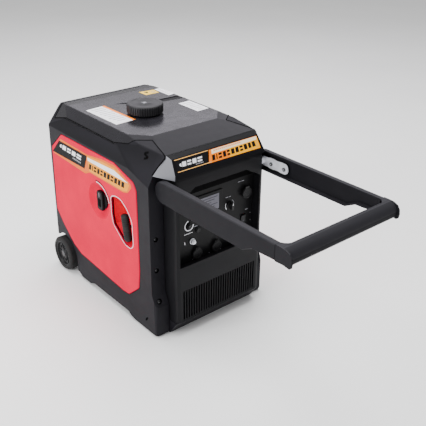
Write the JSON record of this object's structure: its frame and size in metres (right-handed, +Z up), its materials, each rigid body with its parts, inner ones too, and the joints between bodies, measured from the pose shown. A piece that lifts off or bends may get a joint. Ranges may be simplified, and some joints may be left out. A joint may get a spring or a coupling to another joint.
{
  "type": "portable inverter generator",
  "caption": "Closed-frame portable generator with a recessed control panel, recoil starter, fuel cap, rear wheels and a fold-down pull handle.",
  "frame": {"origin": "bottom centre of the whole assembly's box, with the handle raised level", "axes": "+Z up; +Y runs from the handle's crossbar past the control panel to the wheels; the control panel faces -Y and +X is on the right of a person facing it"},
  "size_m": [0.473, 1.1208, 0.637],
  "materials": {
    "black_steel": "baked",
    "button_black": "satin",
    "button_white": "satin",
    "cast_aluminium": "as cast",
    "copper_wound": "varnished",
    "display": "smoked",
    "grip_rubber": "matte",
    "hub_plastic": "satin",
    "iron": "laminated",
    "panel_plastic": "matte",
    "red_plastic": "satin",
    "rope": "braided",
    "rubber": "matte",
    "shell_plastic": "fine moulded texture",
    "steel": "machined",
    "tank_plastic": "moulded",
    "tyre": "matte",
    "zinc": "zinc plated"
  },
  "bodies": {
    "casing": {"base_tray": "shell_plastic", "left_side_shell": "shell_plastic", "right_side_shell": "shell_plastic", "left_side_panel": "red_plastic", "right_side_panel": "red_plastic", "top_cover": "shell_plastic", "rear_cover": "shell_plastic", "front_cover": "shell_plastic", "front_grille": "shell_plastic", "control_panel": "panel_plastic", "front_foot_left": "rubber", "front_foot_right": "rubber", "rear_axle": "zinc", "handle_pivot_left": "zinc", "handle_pivot_right": "zinc", "fuel_tank": "tank_plastic", "filler_neck": "tank_plastic", "recoil_recess": "red_plastic", "recoil_rope": "rope", "recoil_housing": "panel_plastic", "crankcase": "cast_aluminium", "cylinder": "cast_aluminium", "cylinder_head": "cast_aluminium", "alternator_stator": "copper_wound", "muffler": "black_steel", "exhaust_pipe": "steel", "exhaust_outlet": "steel", "carburettor": "cast_aluminium", "air_filter_box": "panel_plastic", "battery": "button_black", "engine_mount_front": "rubber", "engine_mount_rear": "rubber", "inverter_module": "panel_plastic", "display_lens": "display", "ground_terminal": "zinc"},
    "handle": {"handle_arm_left": "shell_plastic", "handle_arm_right": "shell_plastic", "handle_crossbar": "shell_plastic", "handle_bracket_left": "zinc", "handle_bracket_right": "zinc"},
    "left_wheel": {"left_wheel_tyre": "tyre", "left_wheel_hub": "hub_plastic"},
    "right_wheel": {"right_wheel_tyre": "tyre", "right_wheel_hub": "hub_plastic"},
    "cap_seal": {"fuel_cap_plug": "rubber"},
    "cap": {"fuel_cap": "button_black"},
    "engine_switch": {"engine_switch_knob": "button_black"},
    "starter_grip": {"recoil_grip": "grip_rubber"},
    "starter_pulley": {"recoil_pulley": "hub_plastic"},
    "rotating_group": {"crankshaft": "steel", "flywheel_fan": "cast_aluminium", "alternator_rotor": "iron"},
    "selector": {"selector_knob": "button_black"},
    "breaker": {"breaker_button": "button_white"},
    "starter": {"start_button": "button_black"},
    "eco_rocker": {"eco_switch": "button_black"},
    "lid_left": {"socket_lid_left": "button_black"},
    "lid_middle": {"socket_lid_middle": "button_black"},
    "lid_right": {"socket_lid_right": "button_black"},
    "connector_lid": {"connector_cap": "button_black"}
  },
  "joints": [
    {"name": "handle_fold", "type": "hinge", "parent": "casing", "child": "handle", "pos_m": [0, -0.0656, 0.496], "axis": [1, 0, 0], "range_deg": [0, 90]},
    {"name": "left_wheel_spin", "type": "hinge", "parent": "casing", "child": "left_wheel", "pos_m": [-0.2165, 0.4984, 0.062], "axis": [1, 0, 0], "continuous": true},
    {"name": "right_wheel_spin", "type": "hinge", "parent": "casing", "child": "right_wheel", "pos_m": [0.2165, 0.4984, 0.062], "axis": [1, 0, 0], "continuous": true},
    {"name": "fuel_cap_lift", "type": "slide", "parent": "casing", "child": "cap_seal", "axis": [0, 0, 1], "range_m": [0, 0.12]},
    {"name": "fuel_cap_turn", "type": "hinge", "parent": "cap_seal", "child": "cap", "pos_m": [-0.02, 0.2634, 0.62], "axis": [0, 0, 1], "range_deg": [0, 110]},
    {"name": "engine_switch_turn", "type": "hinge", "parent": "casing", "child": "engine_switch", "pos_m": [-0.215, 0.2414, 0.363], "axis": [1, 0, 0], "range_deg": [0, 90]},
    {"name": "recoil_pull", "type": "slide", "parent": "casing", "child": "starter_grip", "axis": [-1, 0, 0], "range_m": [0, 0.55], "stiffness_N_per_m": 12, "springref_m": -0.6, "deforming": ["recoil_rope"]},
    {"name": "recoil_pulley_spin", "type": "hinge", "parent": "casing", "child": "starter_pulley", "pos_m": [-0.1575, 0.2554, 0.205], "axis": [1, 0, 0], "range_deg": [0, 730]},
    {"name": "crankshaft_spin", "type": "hinge", "parent": "casing", "child": "rotating_group", "pos_m": [0, 0.2554, 0.205], "axis": [1, 0, 0], "continuous": true},
    {"name": "selector_turn", "type": "hinge", "parent": "casing", "child": "selector", "pos_m": [0.062, -0.0591, 0.375], "axis": [0, -1, 0], "range_deg": [-45, 45]},
    {"name": "breaker_press", "type": "slide", "parent": "casing", "child": "breaker", "axis": [0, 1, 0], "range_m": [0, 0.003], "stiffness_N_per_m": 400, "springref_m": -0.002},
    {"name": "start_press", "type": "slide", "parent": "casing", "child": "starter", "axis": [0, 1, 0], "range_m": [0, 0.003], "stiffness_N_per_m": 400, "springref_m": -0.002},
    {"name": "eco_switch_tilt", "type": "hinge", "parent": "casing", "child": "eco_rocker", "pos_m": [0.118, -0.0521, 0.312], "axis": [1, 0, 0], "range_deg": [0, 12]},
    {"name": "socket_lid_left_open", "type": "hinge", "parent": "casing", "child": "lid_left", "pos_m": [-0.07, -0.0621, 0.2755], "axis": [-1, 0, 0], "range_deg": [0, 100], "stiffness_Nm_per_rad": 0.004, "springref_deg": -28.65},
    {"name": "socket_lid_middle_open", "type": "hinge", "parent": "casing", "child": "lid_middle", "pos_m": [0.006, -0.0621, 0.274], "axis": [-1, 0, 0], "range_deg": [0, 100], "stiffness_Nm_per_rad": 0.004, "springref_deg": -28.65},
    {"name": "socket_lid_right_open", "type": "hinge", "parent": "casing", "child": "lid_right", "pos_m": [0.082, -0.0621, 0.274], "axis": [-1, 0, 0], "range_deg": [0, 100], "stiffness_Nm_per_rad": 0.004, "springref_deg": -28.65},
    {"name": "connector_cap_open", "type": "hinge", "parent": "casing", "child": "connector_lid", "pos_m": [0.124, -0.0645, 0.422], "axis": [-1, 0, 0], "range_deg": [0, 100], "stiffness_Nm_per_rad": 0.005, "springref_deg": -28.65}
  ],
  "couplings": [
    {"joint": "recoil_pulley_spin", "follows": "recoil_pull", "rad_per_m": 22.222}
  ]
}
